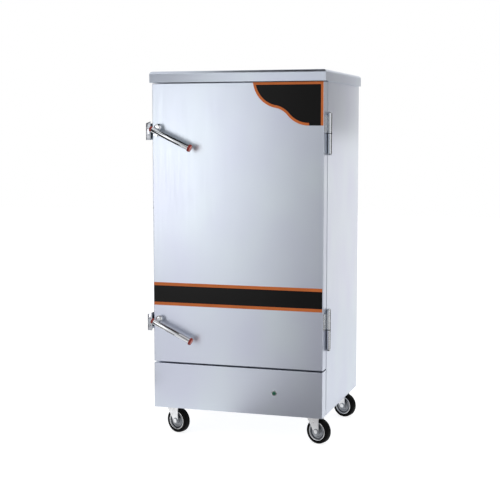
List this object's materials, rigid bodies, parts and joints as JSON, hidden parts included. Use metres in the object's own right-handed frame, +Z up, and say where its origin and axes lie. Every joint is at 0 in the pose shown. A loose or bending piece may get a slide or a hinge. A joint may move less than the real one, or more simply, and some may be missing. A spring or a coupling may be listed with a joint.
{
  "type": "electric steaming cabinet",
  "caption": "Free-standing stainless steaming cabinet on swivel casters, with one hinged insulated door, two bar latches, tray runners and a heated water tank inside.",
  "frame": {"origin": "on the floor, under the middle of the whole cabinet with its handles and pipes", "axes": "+X to the right seen from the front, +Y to the back, +Z up"},
  "size_m": [0.7497, 0.723, 1.455],
  "materials": {
    "satin_stainless": "satin stainless steel sheet",
    "bright_steel": "drawn and pressed stainless steel",
    "chrome": "polished chrome plate",
    "red_plastic": "red moulded end caps",
    "black_film": "black faced strip",
    "orange_film": "orange faced border",
    "seal_rubber": "pale silicone",
    "insulation_foam": "rigid foam",
    "zinc_plate": "zinc plated pressed steel",
    "tyre_rubber": "black rubber tread",
    "brass": "turned brass",
    "float_plastic": "float and arm",
    "lever_plastic": "coated lever",
    "dark_plastic": "moulded black plastic",
    "lamp_green": "green lens",
    "lamp_bezel": "bright ring"
  },
  "bodies": {
    "cabinet": {"top_cap": "satin_stainless", "side_panel_left": "satin_stainless", "side_panel_right": "satin_stainless", "back_panel": "satin_stainless", "front_frame": "satin_stainless", "lower_front_panel": "satin_stainless", "chamber_liner": "satin_stainless", "base_pan": "satin_stainless", "panel_brackets": "satin_stainless", "steam_baffle": "satin_stainless", "water_tank": "satin_stainless", "tray_uprights": "satin_stainless", "tray_runners": "satin_stainless", "strikes": "bright_steel", "hinge_body_leaves": "bright_steel", "hinge_pins": "bright_steel", "vent_pipe": "bright_steel", "heating_elements": "bright_steel", "casing_screws": "bright_steel", "insulation": "insulation_foam", "caster_plates": "zinc_plate", "caster_bolts": "zinc_plate", "electrical_box": "zinc_plate", "water_inlet": "brass", "float_valve": "brass", "drain_valve": "brass", "cable_gland": "dark_plastic", "switchgear": "dark_plastic", "indicator_lens": "lamp_green", "indicator_bezel": "lamp_bezel"},
    "door": {"door_shell": "satin_stainless", "door_liner": "satin_stainless", "door_foam": "insulation_foam", "door_gasket": "seal_rubber", "stripe_band": "black_film", "stripe_trim": "orange_film", "badge_panel": "black_film", "badge_trim": "orange_film", "hinge_door_leaves": "bright_steel", "latch_studs": "bright_steel"},
    "latch_upper": {"latch_hub_upper": "chrome", "latch_tube_upper": "chrome", "latch_caps_upper": "red_plastic"},
    "latch_lower": {"latch_hub_lower": "chrome", "latch_tube_lower": "chrome", "latch_caps_lower": "red_plastic"},
    "float": {"float_arm": "float_plastic"},
    "drain_handle": {"drain_lever": "lever_plastic"},
    "swivel_front_left": {"fork_front_left": "zinc_plate"},
    "wheel_front_left": {"rim_front_left": "zinc_plate", "tyre_front_left": "tyre_rubber"},
    "swivel_front_right": {"fork_front_right": "zinc_plate"},
    "wheel_front_right": {"rim_front_right": "zinc_plate", "tyre_front_right": "tyre_rubber"},
    "swivel_rear_left": {"fork_rear_left": "zinc_plate"},
    "wheel_rear_left": {"rim_rear_left": "zinc_plate", "tyre_rear_left": "tyre_rubber"},
    "swivel_rear_right": {"fork_rear_right": "zinc_plate"},
    "wheel_rear_right": {"rim_rear_right": "zinc_plate", "tyre_rear_right": "tyre_rubber"}
  },
  "joints": [
    {"name": "door_swing", "type": "hinge", "parent": "cabinet", "child": "door", "pos_m": [0.359, -0.2485, 0.83], "axis": [0, 0, 1], "range_deg": [0, 180]},
    {"name": "latch_upper_turn", "type": "hinge", "parent": "door", "child": "latch_upper", "pos_m": [-0.32, -0.3235, 1.235], "axis": [0, 1, 0], "range_deg": [0, 65]},
    {"name": "latch_lower_turn", "type": "hinge", "parent": "door", "child": "latch_lower", "pos_m": [-0.32, -0.3235, 0.471], "axis": [0, 1, 0], "range_deg": [0, 65]},
    {"name": "float_swing", "type": "hinge", "parent": "cabinet", "child": "float", "pos_m": [0.2413, 0.1995, 0.2975], "axis": [1, 0, 0], "range_deg": [-8, 15]},
    {"name": "drain_turn", "type": "hinge", "parent": "cabinet", "child": "drain_handle", "pos_m": [-0.18, 0.3315, 0.2425], "axis": [0, 0, 1], "range_deg": [0, 90]},
    {"name": "swivel_front_left_turn", "type": "hinge", "parent": "cabinet", "child": "swivel_front_left", "pos_m": [-0.294, -0.2565, 0.122], "axis": [0, 0, 1], "continuous": true},
    {"name": "wheel_front_left_spin", "type": "hinge", "parent": "swivel_front_left", "child": "wheel_front_left", "pos_m": [-0.26111, -0.26847, 0.05], "axis": [0.342, 0.9397, 0], "continuous": true},
    {"name": "swivel_front_right_turn", "type": "hinge", "parent": "cabinet", "child": "swivel_front_right", "pos_m": [0.294, -0.2565, 0.122], "axis": [0, 0, 1], "continuous": true},
    {"name": "wheel_front_right_spin", "type": "hinge", "parent": "swivel_front_right", "child": "wheel_front_right", "pos_m": [0.32689, -0.26847, 0.05], "axis": [0.342, 0.9397, 0], "continuous": true},
    {"name": "swivel_rear_left_turn", "type": "hinge", "parent": "cabinet", "child": "swivel_rear_left", "pos_m": [-0.294, 0.2015, 0.122], "axis": [0, 0, 1], "continuous": true},
    {"name": "wheel_rear_left_spin", "type": "hinge", "parent": "swivel_rear_left", "child": "wheel_rear_left", "pos_m": [-0.26111, 0.18953, 0.05], "axis": [0.342, 0.9397, 0], "continuous": true},
    {"name": "swivel_rear_right_turn", "type": "hinge", "parent": "cabinet", "child": "swivel_rear_right", "pos_m": [0.294, 0.2015, 0.122], "axis": [0, 0, 1], "continuous": true},
    {"name": "wheel_rear_right_spin", "type": "hinge", "parent": "swivel_rear_right", "child": "wheel_rear_right", "pos_m": [0.32689, 0.18953, 0.05], "axis": [0.342, 0.9397, 0], "continuous": true}
  ]
}
